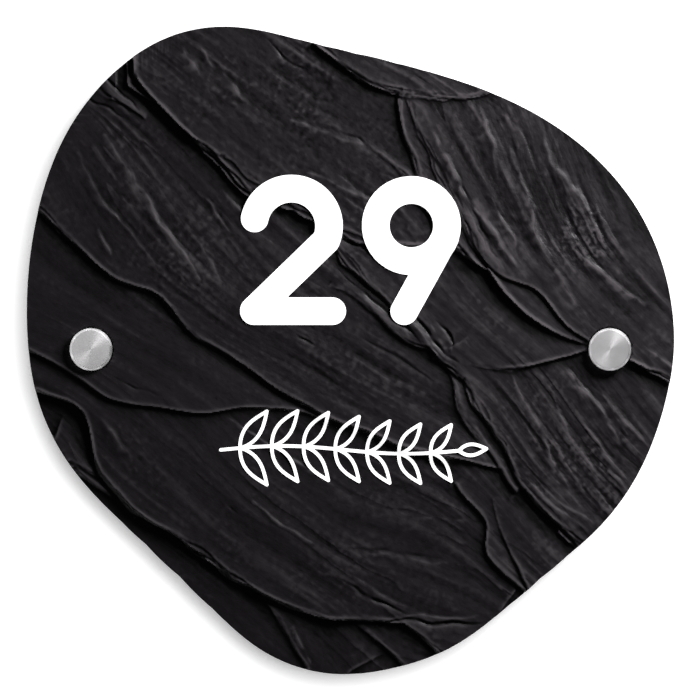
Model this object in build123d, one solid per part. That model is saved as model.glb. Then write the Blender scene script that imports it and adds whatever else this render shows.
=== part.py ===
from build123d import *
import math
import os

# Door name plate: a slab of riven slate, held off the wall by two turned standoffs.
# All sizes are in millimetres.
#
# Frame: X is to the right, Z is up, and the front faces -Y.
# The wall is the plane y = 0. The origin lies on it, midway between the two wall screws.
# Each piece is drawn on the wall first, with x right, y up and z the distance from the wall.
# stand_up() then turns it into the frame above.

# Slab
plate_width = 200.0
plate_height = 200.0
base_thickness = 4.0
relief_depth = 2.4

# Fixings, each set in from the slab's left or right end
fixing_inset = 20.0
standoff_diameter = 13.2

# Turned cap with its threaded stud
cap_thickness = 3.0
cap_bevel = 0.7
stud_diameter = 7.9
stud_grip = 6.0

# Barrel between the slab and the wall
barrel_length = 15.0
barrel_floor = 3.0
barrel_chamfer = 0.4

# Soft washers on both faces of the slab
washer_diameter = 12.0
front_washer_thickness = 0.5
rear_washer_thickness = 0.8

# Countersunk wall screw
screw_diameter = 3.5
screw_reach = 27.0
screw_point_length = 4.0
screw_core_diameter = 2.6
head_diameter = 6.4
head_land = 0.3
recess_width = 3.4
recess_slot_width = 0.85
recess_depth = 1.5

# Clearances, all on the radius
thread_clearance = 0.05
washer_clearance = 0.15
hole_clearance = 0.3
spot_clearance = 0.45
screw_clearance = 0.15
seat_clearance = 0.2

# Both fixings lie level with the origin.
fixing_pitch = plate_width - 2 * fixing_inset

# Distances from the wall, each from the one before
rear_washer_seat = barrel_length
slab_back = rear_washer_seat + rear_washer_thickness
base_front = slab_back + base_thickness
cap_seat = base_front + front_washer_thickness
cap_front = cap_seat + cap_thickness
stud_end = slab_back - stud_grip

# Radii that follow from the sizes and clearances
standoff_radius = standoff_diameter / 2
stud_radius = stud_diameter / 2
bore_radius = stud_radius + thread_clearance
washer_bore_radius = stud_radius + washer_clearance
plate_hole_radius = stud_radius + hole_clearance
spot_face_radius = standoff_radius + spot_clearance
screw_radius = screw_diameter / 2
core_radius = screw_core_diameter / 2
foot_hole_radius = screw_radius + screw_clearance
head_radius = head_diameter / 2
seat_radius = head_radius + seat_clearance

# The seat and the head share one 90 degree cone, whose radius is the distance from its apex.
cone_apex = barrel_floor - seat_radius
head_rim = cone_apex + head_radius
head_top = head_rim + head_land
core_top = cone_apex + core_radius

# Room for the cuts, beyond the slab and over its highest lip
spare = 4 * relief_depth

# A layer's outline runs on past its toe, to this many times the way from its lip to its toe.
toe_overrun = 1.3

fixing_sides = {"left": -1, "right": 1}


def on_plate(u, v):
    """A point on the slab, in percent of half its width and half its height."""
    return (u / 100 * plate_width / 2, v / 100 * plate_height / 2)


def stand_up(shape):
    """Turn a piece drawn on the wall so that the wall is y = 0 and Z is up."""
    return Rot(90, 0, 0) * shape


def turned(profile):
    """A turned piece about the z axis, from (radius, distance from the wall) corners."""
    face = make_face(Polyline(*[(radius, 0, height) for radius, height in profile], close=True))
    return revolve(face, Axis.Z, 360)


# Outline of the slab, a rounded stone with one long sawn side at the lower left.
outline_points = [
    (99.9, 4), (97.5, 22), (88.5, 43.5), (73.4, 61.2), (56, 73.3), (35, 82.3), (11, 89),
    (-13, 94.8), (-37, 99.6), (-55, 96.8), (-71, 87.2), (-87.5, 67), (-96.8, 41), (-99.8, 9),
    (-95.5, -18.5), (-83.8, -39.4), (-66, -57.5), (-44, -78.6), (-28, -92.5), (-7, -100),
    (14, -98.2), (31, -92), (46.5, -81), (60.5, -69), (77.5, -54), (90, -36), (97, -17),
]

# The layers of the riven face. Each one has a broken lip, where it stands highest, and slopes
# down to its toe, where it fades into the slab. The lip runs from the left to the right end.
# The rises are in percent of relief_depth, at the first and last point of the lip.
layers = {
    "top_band": {
        "lip": [(-24, 104), (-13, 95.5), (-2, 88), (10, 80.5), (24, 78.5), (37, 77.5), (41, 78.8), (58, 74)],
        "rise": (62, 60), "toe": (30, 112)},
    "upper_sweep": {
        "lip": [
            (-73, 96), (-63.5, 80), (-54, 69.5), (-41, 57.8), (-27, 48), (-10, 39.5), (6, 33.3),
            (20, 32), (34, 30)],
        "rise": (66, 34), "toe": (15, 85)},
    "cleft_upper": {
        "lip": [(-80, 89), (-72, 82.8), (-68, 80.5), (-60, 75)],
        "rise": (46, 30), "toe": (-66, 88)},
    "cleft_lower": {
        "lip": [(-84, 82), (-75, 77.3), (-70, 75.2), (-62, 70)],
        "rise": (34, 10), "toe": (-70, 82)},
    "mid_sweep": {
        "lip": [(-16, 70.5), (0, 66), (13, 57), (20, 52.5), (28, 46.5)],
        "rise": (40, 46), "toe": (34, 84)},
    "right_sweep": {
        "lip": [
            (18, 80), (20, 72), (25, 60), (34, 42.5), (39, 30.5), (46.5, 22.5), (57, 18), (66, 8),
            (80, -0.5), (104, -13)],
        "rise": (64, 62), "toe": (92, 44)},
    "right_outer": {
        "lip": [(15.5, 81), (17, 66), (21.5, 53), (28, 38.5), (39, 26), (46.5, 22.5)],
        "rise": (56, 50), "toe": (48, 62)},
    "right_sliver": {
        "lip": [(42, 25), (50.5, 14), (60.5, 6.2), (76, 1.5)],
        "rise": (80, 56), "toe": (68, 28)},
    "left_sweep": {
        "lip": [
            (-108, 48), (-85, 32.5), (-67, 18.6), (-61, 17), (-52, 7), (-40, -0.5), (-21, -13.7), (0, -24),
            (24, -32), (46.5, -37)],
        "rise": (38, 34), "toe": (0, 30)},
    "left_shelf": {
        "lip": [
            (-108, 2), (-88, -6.5), (-73, -16), (-58, -18.3), (-44, -19.8), (-36, -18.3), (-20, -19),
            (-8, -22)],
        "rise": (74, 14), "toe": (-70, 24)},
    "lower_sweep": {
        "lip": [
            (-106, -6), (-93, -14), (-83, -19.5), (-80, -31.5), (-68.5, -48), (-52, -59), (-33.5, -72.2),
            (-20, -79), (0, -84), (17, -84), (25, -85), (50, -82)],
        "rise": (54, 10), "toe": (-20, -20)},
    "chip_upper": {
        "lip": [(-94, -33), (-84, -36), (-77, -40)],
        "rise": (40, 30), "toe": (-82, -24)},
    "chip_lower": {
        "lip": [(-92, -32), (-80, -41), (-66, -52)],
        "rise": (30, 22), "toe": (-77, -37)},
    "foot_left": {
        "lip": [(-28, -76), (-21, -86), (-10, -106)],
        "rise": (14, 22), "toe": (12, -92)},
    "foot_middle": {
        "lip": [(-4, -81), (5, -87.5), (14, -95.5), (22, -104)],
        "rise": (14, 34), "toe": (22, -84)},
    "foot_right": {
        "lip": [(-10, -69), (5, -76), (16, -83.5), (34, -99)],
        "rise": (48, 50), "toe": (38, -60)},
    "split_outer": {
        "lip": [(32, -38), (38, -48.5), (42, -54.5), (41, -60), (48.5, -70.5), (60, -84)],
        "rise": (18, 36), "toe": (70, -50)},
    "split_inner": {
        "lip": [(44, -46), (48.5, -62), (61, -84)],
        "rise": (18, 66), "toe": (80, -55)},
    "slip_outer": {
        "lip": [(-6, 21), (5, 13), (12.5, 6), (24, 0.5)],
        "rise": (16, 50), "toe": (22, 16)},
    "slip_inner": {
        "lip": [(-8, 36), (1, 25), (13, 12.5), (25.5, 0), (35, -9)],
        "rise": (36, 64), "toe": (34, 22)},
    "bowl": {
        "lip": [(25.5, 3), (38, -4.7), (52, -6.2), (67, -2.5), (80, 3)],
        "rise": (50, 46), "toe": (52, 24)},
    "centre_outer": {
        "lip": [(25.5, -2), (32, -9), (34, -18), (41, -29.5), (52.5, -46)],
        "rise": (42, 52), "toe": (56, -18)},
    "centre_inner": {
        "lip": [(31, 1), (35.5, -9.5), (42, -21.5), (49.5, -34.5), (56.5, -47), (66.5, -56.5), (80.5, -70)],
        "rise": (64, 78), "toe": (88, -4)},
    "right_chip": {
        "lip": [(76, -35), (81, -40.5), (92, -52)],
        "rise": (50, 72), "toe": (94, -28)},
}


def layer(lip, rise, toe):
    """One riven layer as a wedge whose top falls from the lip to the toe."""
    first = Vector(*on_plate(*lip[0]))
    last = Vector(*on_plate(*lip[-1]))
    toe_point = Vector(*on_plate(*toe))
    along = (last - first).normalized()
    across = Vector(-along.Y, along.X)
    back = across * (toe_point - first).dot(across) * toe_overrun
    edge = Spline(*[on_plate(u, v) for u, v in lip])
    rest = Polyline(last, last + back, first + back, first)
    wedge = extrude(make_face(edge + rest), base_front + spare)
    high_first = Vector(first.X, first.Y, base_front + rise[0] / 100 * relief_depth)
    high_last = Vector(last.X, last.Y, base_front + rise[1] / 100 * relief_depth)
    low_toe = Vector(toe_point.X, toe_point.Y, base_front)
    up = (high_last - high_first).cross(low_toe - high_first).normalized()
    if up.Z < 0:
        up = up * -1
    wedge = split(wedge, bisect_by=Plane(origin=low_toe, z_dir=up), keep=Keep.BOTTOM)
    return wedge


def slate_plate():
    """The slab: its layers fused to a flat base, cut to the outline, with the fixing holes."""
    outline = Spline(*[on_plate(u, v) for u, v in outline_points], periodic=True)
    blank = extrude(make_face(outline), base_front + spare)
    base = extrude(Rectangle(plate_width + 2 * spare, plate_height + 2 * spare), base_front)
    riven = base.fuse(*[layer(**one) for one in layers.values()])
    slab = riven & blank
    slab = split(slab, bisect_by=Plane.XY.offset(slab_back), keep=Keep.TOP)
    for side in fixing_sides.values():
        centre = (side * fixing_pitch / 2, 0)
        hole = extrude(Pos(*centre, 0) * Circle(plate_hole_radius), base_front + spare)
        spot_face = extrude(Pos(*centre, base_front) * Circle(spot_face_radius), spare)
        slab = slab - hole - spot_face
    return slab


def cap():
    """Turned cap: a flat disc with a bevelled edge and a threaded stud through the slab."""
    head = extrude(Pos(0, 0, cap_seat) * Circle(standoff_radius), cap_thickness)
    head = chamfer(head.edges().group_by(Axis.Z)[-1], cap_bevel)
    stud = extrude(Pos(0, 0, stud_end) * Circle(stud_radius), cap_seat - stud_end)
    return head + stud


def barrel():
    """Turned barrel: a tapped bore from the front and a countersunk floor against the wall."""
    body = extrude(Circle(standoff_radius), barrel_length)
    body = chamfer(body.edges().group_by(Axis.Z)[-1], barrel_chamfer)
    bore = extrude(Pos(0, 0, barrel_floor) * Circle(bore_radius), barrel_length)
    foot_hole = extrude(Circle(foot_hole_radius), barrel_floor)
    seat = turned([
        (0, cone_apex + foot_hole_radius),
        (foot_hole_radius, cone_apex + foot_hole_radius),
        (seat_radius, barrel_floor),
        (0, barrel_floor)])
    return body - bore - foot_hole - seat


def washer(start, thickness):
    """Flat soft washer round the stud."""
    ring = Circle(washer_diameter / 2) - Circle(washer_bore_radius)
    return extrude(Pos(0, 0, start) * ring, thickness)


def wall_screw():
    """Countersunk screw: head in the seat, bare core in the floor, thread and point in the wall."""
    body = turned([
        (0, head_top),
        (head_radius, head_top),
        (head_radius, head_rim),
        (core_radius, core_top),
        (core_radius, 0),
        (screw_radius, 0),
        (screw_radius, screw_point_length - screw_reach),
        (0, -screw_reach)])
    slot = Rectangle(recess_width, recess_slot_width)
    recess = extrude(Pos(0, 0, head_top - recess_depth) * (slot + Rot(0, 0, 90) * slot), recess_depth)
    return body - recess


pieces = {"slate_plate": slate_plate()}
for side, direction in fixing_sides.items():
    place = Pos(direction * fixing_pitch / 2, 0, 0)
    pieces[side + "_cap"] = place * cap()
    pieces[side + "_front_washer"] = place * washer(base_front, front_washer_thickness)
    pieces[side + "_rear_washer"] = place * washer(rear_washer_seat, rear_washer_thickness)
    pieces[side + "_barrel"] = place * barrel()
    pieces[side + "_wall_screw"] = place * wall_screw()

os.makedirs("parts", exist_ok=True)
for name, piece in pieces.items():
    export_step(stand_up(piece), os.path.join("parts", name + ".step"))
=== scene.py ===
import math

import bmesh
import bpy
import numpy as np
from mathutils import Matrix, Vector
from mathutils.bvhtree import BVHTree


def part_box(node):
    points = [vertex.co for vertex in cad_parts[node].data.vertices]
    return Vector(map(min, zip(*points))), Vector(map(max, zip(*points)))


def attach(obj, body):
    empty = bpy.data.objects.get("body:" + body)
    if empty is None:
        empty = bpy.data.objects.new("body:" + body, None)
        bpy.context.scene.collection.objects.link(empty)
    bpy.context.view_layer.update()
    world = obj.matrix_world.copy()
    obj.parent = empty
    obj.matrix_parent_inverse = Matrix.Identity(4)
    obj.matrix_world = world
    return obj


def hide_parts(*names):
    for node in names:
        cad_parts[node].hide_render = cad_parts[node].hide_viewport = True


# Looks of the door name plate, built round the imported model. Everything here is in metres:
# X right, Z up, the front faces -Y and the wall is the plane y = 0.
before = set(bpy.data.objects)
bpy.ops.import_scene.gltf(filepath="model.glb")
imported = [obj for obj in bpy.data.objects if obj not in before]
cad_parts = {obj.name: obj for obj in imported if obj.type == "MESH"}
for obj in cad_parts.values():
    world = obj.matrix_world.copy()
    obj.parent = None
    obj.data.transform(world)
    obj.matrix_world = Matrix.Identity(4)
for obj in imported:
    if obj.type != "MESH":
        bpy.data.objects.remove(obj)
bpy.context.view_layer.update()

MM = 0.001

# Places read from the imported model
slab_low, slab_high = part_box("slate_plate")
cap_boxes = {side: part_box(side + "_cap") for side in ("left", "right")}
fixing_x = {side: (low.x + high.x) / 2 for side, (low, high) in cap_boxes.items()}
cap_radius = (cap_boxes["right"][1].x - cap_boxes["right"][0].x) / 2
base_front_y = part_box("right_front_washer")[1].y
slab_back_y = slab_high.y
SPOT_FACE = cap_radius + 0.22 * MM
PLATE_HOLE = 4.25 * MM

# Counts and small lengths of the slab, in mm
FACE_TRIANGLES = 176000
FACE_REACH = 107
OUTLINE_MARGIN = 0.01
SPOT_MARGIN = 0.8
LIP_DROP = 0.05
FILL_REACH = 14
DEEPEST = -1.2
EDGE_WEAR = 0.10


def new_object(name, verts, faces):
    """A smooth-shaded mesh object from vertices and faces in metres."""
    mesh = bpy.data.meshes.new(name)
    mesh.from_pydata([tuple(v) for v in verts], [], [tuple(f) for f in faces])
    mesh.validate()
    mesh.polygons.foreach_set("use_smooth", [True] * len(mesh.polygons))
    piece = bpy.data.objects.new(name, mesh)
    bpy.context.scene.collection.objects.link(piece)
    return piece


# The slab's relief, worked out on a square grid over its face. Lengths in this part are in mm.
STEP = 0.36
x_axis = z_axis = np.arange(-102.0, 102.0, STEP)
GX, GZ = np.meshgrid(x_axis, z_axis)
SHAPE = GX.shape
rng = np.random.RandomState(7)
SIDES = ((0, 1), (0, -1), (1, 0), (-1, 0))
CORNERS = ((1, 1), (-1, -1), (1, -1), (-1, 1))


def between(field, u, v):
    """Bilinear value of a field at places counted in cells; past its border the field repeats."""
    rows, columns = field.shape
    i, j = u.astype(int), v.astype(int)
    fu, fv = u - i, v - j
    i, j, ni, nj = i % columns, j % rows, (i + 1) % columns, (j + 1) % rows
    top = field[j, i] * (1 - fu) + field[j, ni] * fu
    bottom = field[nj, i] * (1 - fu) + field[nj, ni] * fu
    return top * (1 - fv) + bottom * fv


def sample(field, x, z):
    """Value of a grid field at points given in mm."""
    u = np.clip((x - x_axis[0]) / STEP, 0, SHAPE[1] - 1.001)
    v = np.clip((z - z_axis[0]) / STEP, 0, SHAPE[0] - 1.001)
    return between(field, u, v)


def blur(field, sigma):
    """Gaussian blur with a sigma in mm and mirrored borders."""
    pad = int(4 * sigma / STEP) + 2
    wide = np.pad(field, pad, mode="reflect")
    fz = np.fft.fftfreq(wide.shape[0], STEP)[:, None]
    fx = np.fft.rfftfreq(wide.shape[1], STEP)[None, :]
    gain = np.exp(-2 * (math.pi * sigma) ** 2 * (fx ** 2 + fz ** 2))
    out = np.fft.irfft2(np.fft.rfft2(wide) * gain, s=wide.shape)
    return out[pad:-pad, pad:-pad]


def lumps(size):
    """Smooth noise with lumps about size mm across, of unit spread."""
    field = blur(rng.standard_normal(SHAPE), size / 3)
    return (field - field.mean()) / field.std()


def smoothstep(low, high, value):
    t = np.clip((value - low) / (high - low), 0, 1)
    return t * t * (3 - 2 * t)


# Direction of the grain, in degrees below level to the right, at places on the face.
GRAIN = [
    (-60, 42, 57), (-78, 55, 60), (-35, 26, 52), (-45, 82, 40), (-10, 78, 36), (2, 52, 34),
    (-20, 62, 38), (34, 72, 74), (42, 58, 72), (54, 62, 70), (50, 40, 66), (66, 58, 66), (74, 42, 62),
    (66, 24, 54), (84, 26, 48), (90, 8, 44), (0, 2, 33), (22, -16, 33), (-22, 20, 36), (-86, 6, 22),
    (-60, -4, 20), (-30, -6, 26), (-72, -30, 52), (-48, -42, 42), (-18, -52, 24), (10, -62, 10),
    (24, -78, 8), (50, -52, 52), (56, -22, 58), (74, -22, 56), (88, -34, 46), (54, 6, 40), (0, -93, 56),
    (-40, -80, 40), (12, 92, 30), (40, 84, 12), (-70, 84, 34),
]


def grain_field():
    """Unit direction of the grain at each grid point, blended between the places above."""
    dx, dz = np.zeros(SHAPE), np.zeros(SHAPE)
    for x, z, down in GRAIN:
        near = 1 / (40 + (GX - x) ** 2 + (GZ - z) ** 2) ** 1.6
        dx += near * math.cos(math.radians(down))
        dz -= near * math.sin(math.radians(down))
    length = np.hypot(dx, dz)
    return dx / length, dz / length


grain_x, grain_z = grain_field()


def grain_coordinates():
    """Distances along and across the grain: the smooth fields whose slopes follow it best."""
    fields = []
    for u, v in ((grain_x, grain_z), (-grain_z, grain_x)):
        pace = np.ones(SHAPE)
        for _ in range(6):
            pu, pv = pace * u, pace * v
            wide_u = np.block([[pu, -pu[:, ::-1]], [pu[::-1], -pu[::-1, ::-1]]])
            wide_v = np.block([[pv, pv[:, ::-1]], [-pv[::-1], -pv[::-1, ::-1]]])
            kz = 2 * math.pi * np.fft.fftfreq(wide_u.shape[0], STEP)[:, None]
            kx = 2 * math.pi * np.fft.fftfreq(wide_u.shape[1], STEP)[None, :]
            square = kx ** 2 + kz ** 2
            square[0, 0] = 1
            spread = -1j * (kx * np.fft.fft2(wide_u) + kz * np.fft.fft2(wide_v)) / square
            field = np.fft.ifft2(spread).real[:SHAPE[0], :SHAPE[1]]
            slope_z, slope_x = np.gradient(field, STEP)
            pace = np.clip(slope_x * u + slope_z * v, 0.5, 1.6)
        fields.append(field)
    return fields


along_grain, across_grain = grain_coordinates()


def drawn(length, width):
    """Noise drawn out along the grain, its lumps about length by width mm, of unit spread."""
    cells = 1024
    f = np.fft.fftfreq(cells)
    gain = np.exp(-2 * (1.3 * math.pi) ** 2 * (f[:, None] ** 2 + f[None, :] ** 2))
    tile = np.fft.ifft2(np.fft.fft2(rng.standard_normal((cells, cells))) * gain).real
    u = along_grain * 4 / length + 1000
    v = (across_grain + 0.35 * width * lumps(1.2 * length)) * 4 / width + 1000
    field = between(tile, u, v)
    return (field - field.mean()) / field.std()


def spread_out(places):
    """A smooth field from (x, z, radius, amount) places: each holds its amount within its radius."""
    total, weight = np.zeros(SHAPE), np.full(SHAPE, 1e-9)
    for x, z, radius, amount in places:
        near = np.exp(-((GX - x) ** 2 + (GZ - z) ** 2) / radius ** 2)
        total += near * amount
        weight += near
    return total / weight


def cad_relief():
    """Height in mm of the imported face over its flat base, its empty cells filled from beside them."""
    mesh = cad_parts["slate_plate"].data
    tree = BVHTree.FromPolygons([v.co for v in mesh.vertices], [p.vertices for p in mesh.polygons])
    ahead = Vector((0, 1, 0))

    def height_at(x, z):
        hit = tree.ray_cast(Vector((x * MM, -0.05, z * MM)), ahead)[0]
        if hit is None or hit.y > base_front_y + 0.1 * MM:
            return math.nan
        return (base_front_y - hit.y) / MM

    # Round the fixings the cells stay empty, so that the face runs on under the caps.
    wanted = np.hypot(GX, GZ) < FACE_REACH
    for fx in fixing_x.values():
        wanted &= np.hypot(GX - fx / MM, GZ) > SPOT_FACE / MM + SPOT_MARGIN
    height = np.full(SHAPE, np.nan)
    for j, i in zip(*np.nonzero(wanted)):
        height[j, i] = height_at(x_axis[i], z_axis[j])
    # Along the lips a cell holds the mean over its area, so that their edges aren't stepped by the grid.
    drop = np.zeros(SHAPE)
    for shift in SIDES:
        drop = np.fmax(drop, np.abs(height - np.roll(height, shift, (0, 1))))
    thirds = (-STEP / 3, 0, STEP / 3)
    for j, i in zip(*np.nonzero(drop > LIP_DROP)):
        around_it = [height_at(x_axis[i] + dx, z_axis[j] + dz) for dx in thirds for dz in thirds]
        height[j, i] = np.nanmean(around_it)
    for _ in range(int(FILL_REACH / STEP)):
        empty = np.isnan(height)
        total, count = np.zeros(SHAPE), np.zeros(SHAPE)
        for shift in SIDES:
            beside = np.roll(height, shift, (0, 1))
            known = ~np.isnan(beside)
            total[known] += beside[known]
            count[known] += 1
        fill = empty & (count > 0)
        height[fill] = total[fill] / count[fill]
    return np.nan_to_num(height)


# Lines on the face between its lips, in mm. Streaks: width, height of the crest and points along it.
STREAKS = [
    (1.2, 0.45, (25, 68), (35, 48), (38, 38), (46, 24)),
    (1.7, 0.5, (29, 62), (36, 46), (43, 37), (55, 21)),
    (1.1, 0.28, (40, 76), (44, 62), (46, 52)),
    (1, 0.28, (42, 48), (49, 37), (52, 29)),
    (0.9, 0.26, (36, 44), (42, 34), (47, 27)),
    (0.8, 0.24, (40, 43), (46, 33), (52, 24)),
    (1.9, 0.42, (49, 60), (55, 47), (57, 37), (63, 24), (72, 12)),
    (1.8, 0.34, (55.5, 38), (58, 33), (62.3, 25), (66, 19), (71, 12.4), (74, 9)),
    (1.7, 0.45, (59, 69), (62, 57), (70, 48), (74, 42), (79, 31)),
    (1, 0.25, (61, 70), (65, 61)),
    (1.4, 0.4, (69, 31), (75, 25), (83, 19), (91, 13)),
    (1.3, 0.32, (50, -8), (55, -17), (58, -25), (63, -34), (71, -50)),
    (1.2, 0.28, (62, -13), (68, -27), (77, -41)),
    (1.6, 0.48, (66, -5), (71, -12), (79, -21), (84, -30)),
    (1.3, 0.36, (75, -12), (85, -22), (92, -31)),
    (1.2, 0.34, (70, -20), (75, -27), (80, -34), (85, -41)),
    (1, 0.3, (79, -37), (85, -44)),
    (1.6, 0.35, (90, 1), (96, -3), (101, -7)),
    (1.5, 0.38, (-71, 60), (-67, 53), (-62, 46), (-60, 40), (-55, 34), (-50, 27), (-46, 21)),
    (1.3, 0.3, (-85, 61), (-80, 52), (-74, 42), (-65, 33)),
    (0.9, 0.24, (-49, 51), (-42, 43), (-37, 35)),
    (1, 0.26, (-40, 50), (-35, 44), (-28, 38)),
    (1, 0.16, (-46, 33), (-43, 27), (-40, 20)),
    (0.9, 0.2, (-78, 38), (-74, 28)),
    (2, 0.34, (-52, 94), (-46, 84)),
    (1.2, 0.24, (-47, 95), (-42, 86)),
    (1.3, 0.26, (-40, 86), (-31, 74)),
    (1.6, 0.3, (-21, 71.6), (-10.2, 68.4), (3.2, 63), (14, 57.4)),
    (1.3, 0.26, (-18, 56.8), (-10.2, 53.4), (0.5, 48.4), (13, 43.8)),
    (1.9, 0.28, (-76, 67), (-70, 57), (-65, 49), (-60, 40)),
    (1.6, 0.24, (-77, -21), (-72, -27), (-65, -38)),
    (0.8, 0.24, (-31, -46), (-24, -52), (-18, -56), (-11, -60)),
    (0.8, 0.3, (-38, -21), (-26, -29), (-16, -35), (-5, -42)),
    (1, 0.24, (-18, -85), (-12, -98)),
    (1, 0.16, (12, -48), (20, -52), (36, -53)),
    (1.4, 0.2, (4, -62.5), (14, -63.5), (24, -66), (32, -65.5)),
    (1, 0.22, (0, -70.2), (7, -74.4), (18, -80.2)),
    (0.9, 0.24, (2, -82), (12, -83), (22, -82.4), (34, -83), (44, -81.5)),
    (1.6, 0.35, (2, 18), (12, 9), (22, 3)),
    (1, 0.45, (14.3, 12.4), (20.8, 6.7), (24.6, 1), (29, -3.9), (34.5, -8.5)),
    (1, 0.36, (24.9, 7.9), (28.2, 1.2), (31.4, -3.4)),
    (1.8, 0.2, (1.3, -3), (9.4, -7.9), (24.1, -13.6)),
    (0.9, 0.3, (5, 14.4), (11.9, 8.5), (17.5, 5), (22.5, 1.8)),
    (1.1, 0.32, (55.4, -40.8), (60.6, -46.6), (67.4, -51.8), (73.4, -56.6)),
    (0.9, 0.26, (58.4, -41.8), (65, -47.6), (75.4, -54.4)),
]

# Cracks: width, depth and points.
CRACKS = [
    (0.8, 0.55, (-78, 86), (-71, 79.5), (-65, 74)),
    (0.7, 0.45, (-81, 84), (-73, 77), (-66, 72.5)),
    (0.7, 0.45, (-85, 80), (-77, 75.5), (-69, 71.5)),
    (0.9, 0.6, (0, -83.5), (8, -84.5), (16, -83), (24, -85), (32, -84), (44, -85)),
    (0.9, 0.55, (-3, -70.4), (5, -75.6), (11, -78.6), (18, -82.4)),
    (1.2, 0.18, (-1, -61), (10, -61.6), (20, -63.4), (30, -64.6)),
    (0.8, 0.3, (-4, 68.6), (2.5, 65), (9, 60.4)),
    (0.6, 0.28, (-27, 97), (-20, 90), (-12, 84.5)),
    (0.7, 0.2, (-74, -8), (-66, -12), (-57, -14.5)),
    (0.7, 0.25, (-38, -48), (-34, -51)),
    (0.8, 0.35, (27, 66), (36, 48), (40, 37), (48, 24)),
    (0.8, 0.4, (-12, 40), (0, 33), (14, 27)),
    (0.8, 0.35, (-6, 26), (6, 16), (20, 3)),
    (1, 0.8, (15.9, 14.1), (22.5, 6.9), (27.3, 1.2), (33.9, -5.3)),
    (0.9, 0.55, (22, 2.4), (28.2, -4.1), (34.5, -9)),
    (0.6, 0.4, (11, 10.8), (14.5, 7.6), (19.5, 5)),
    (0.8, 0.6, (26.5, 10), (30.2, 4.5), (31.4, -1.4)),
    (0.6, 0.35, (-16.6, 5.1), (-10.9, 0.6)),
    (0.9, 0.22, (2.1, 4.3), (13.5, -1.4), (25.7, -10.4)),
]

# Bands that paint light and shade into the stone's colour along lines: paler ones (above 0) are painted
# highlights on faces turned to the light, darker ones painted shade along the upper-right edge, beside lips
# and streaks and over some wider areas. Columns: width, how far they shift the colour, and points.
PAINTED_LIGHT_BANDS = [
    (4.2, 0.62, (37, 46), (44, 34), (54, 21)),
    (3, 0.2, (38, 30), (46, 20)),
    (3, 0.14, (60, 60), (68, 48), (76, 34)),
    (3, 0.3, (36, -6), (41, -18)),
    (3, 0.14, (50, 12), (60, 8), (68, 3)),
    (1.8, 0.16, (-72, 88), (-60, 72), (-44, 58), (-28, 49)),
    (3, 0.16, (56, -58), (66, -64)),
    (2.5, 0.22, (46, -64), (54, -76)),
    (8.5, -0.34, (67, 70), (78, 58), (88, 45), (96, 29)),
    (2, -0.45, (64, 68.5), (75, 60.5), (82, 53.5), (88, 45.5), (93, 36)),
    (8, -0.06, (84, 44), (90, 30)),
    (2.5, -0.14, (62, -8), (66, -18), (72, -30)),
    (12, -0.08, (-88, 20), (-70, 6), (-50, -8)),
    (3.5, -0.16, (-84, 56), (-76, 44), (-68, 33)),
    (14, -0.24, (80, 22), (92, 6)),
    (18, -0.24, (44, 66), (72, 26)),
    (9, 0.12, (-52, 40), (-38, 12)),
    (2.2, 0.22, (-70, 58), (-62, 43), (-55, 33), (-46, 21)),
    (2.2, 0.25, (42, -54), (44.5, -62), (51, -71)),
    (2.6, 0.22, (58, -42), (68, -50), (76, -56)),
    (11, -0.14, (-40, 84), (0, 74)),
]


def window(x, z, reach):
    """The rows and columns of the grid within reach of a point, in mm."""
    i, j, k = int((x - x_axis[0]) / STEP), int((z - z_axis[0]) / STEP), int(reach / STEP) + 1
    return slice(max(j - k, 0), max(j + k, 0)), slice(max(i - k, 0), max(i + k, 0))


def near_line(points, reach, wander=(0, 0)):
    """Distance from a line in mm, its side (above 0 to the upper right) and the share along it."""
    p = np.array(points, float)
    cut = np.concatenate([[0], np.cumsum(np.hypot(*np.diff(p, axis=0).T))])
    steps = np.linspace(0, cut[-1], max(6, int(cut[-1] / 2)))
    x, z = np.interp(steps, cut, p[:, 0]), np.interp(steps, cut, p[:, 1])
    away, side, share = np.full(SHAPE, 1e3), np.zeros(SHAPE), np.zeros(SHAPE)
    for a in range(len(steps) - 1):
        bx, bz = x[a + 1] - x[a], z[a + 1] - z[a]
        near = window(x[a], z[a], reach + 3)
        px, pz = ((field + shift)[near] - start for field, shift, start in
                  ((GX, wander[0], x[a]), (GZ, wander[1], z[a])))
        s = np.clip((px * bx + pz * bz) / (bx * bx + bz * bz), 0, 1)
        far = np.hypot(px - s * bx, pz - s * bz)
        take = far < away[near]
        away[near] = np.where(take, far, away[near])
        side[near] = np.where(take, bx * pz - bz * px, side[near])
        share[near] = np.where(take, np.clip((a + s) / (len(steps) - 1), 0, 1), share[near])
    return away, side, share


def lines_relief():
    """Height of the streaks, sharp crests that drop steeply to the upper right, less the cracks."""
    wander = (0.3 * lumps(5), 0.3 * lumps(5))
    broken = np.clip(0.8 + 0.3 * lumps(3.5), 0.2, 1.4)
    raised, cut = np.zeros(SHAPE), np.zeros(SHAPE)
    for width, rise, *points in STREAKS:
        away, side, share = near_line(points, 4 * width, wander)
        ends = np.sin(math.pi * share) ** 0.7
        reach = np.where(side > 0, 0.42 * width, 1.7 * width) * (0.35 + 0.65 * ends)
        raised = np.maximum(raised, 1.3 * rise * ends * broken * np.exp(-(away / reach) ** 1.3))
    for width, depth, *points in CRACKS:
        away, _, share = near_line(points, 3 * width, wander)
        ends = np.sin(math.pi * share)
        reach = 0.6 * width * (0.35 + 0.65 * ends)
        cut = np.maximum(cut, depth * ends * broken * np.exp(-(away / reach) ** 2))
    return raised - cut


def painted_light_bands():
    """How far the bands shift the colour of the stone, painting highlights and shade into it."""
    total = np.zeros(SHAPE)
    for width, amount, *points in PAINTED_LIGHT_BANDS:
        away, _, share = near_line(points, 2.5 * width)
        ends = np.sin(math.pi * share) ** 0.5
        total += amount * ends * np.exp(-(away / width) ** 2) * (1 + 0.55 * drawn(16, 1.5))
    return total


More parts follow.
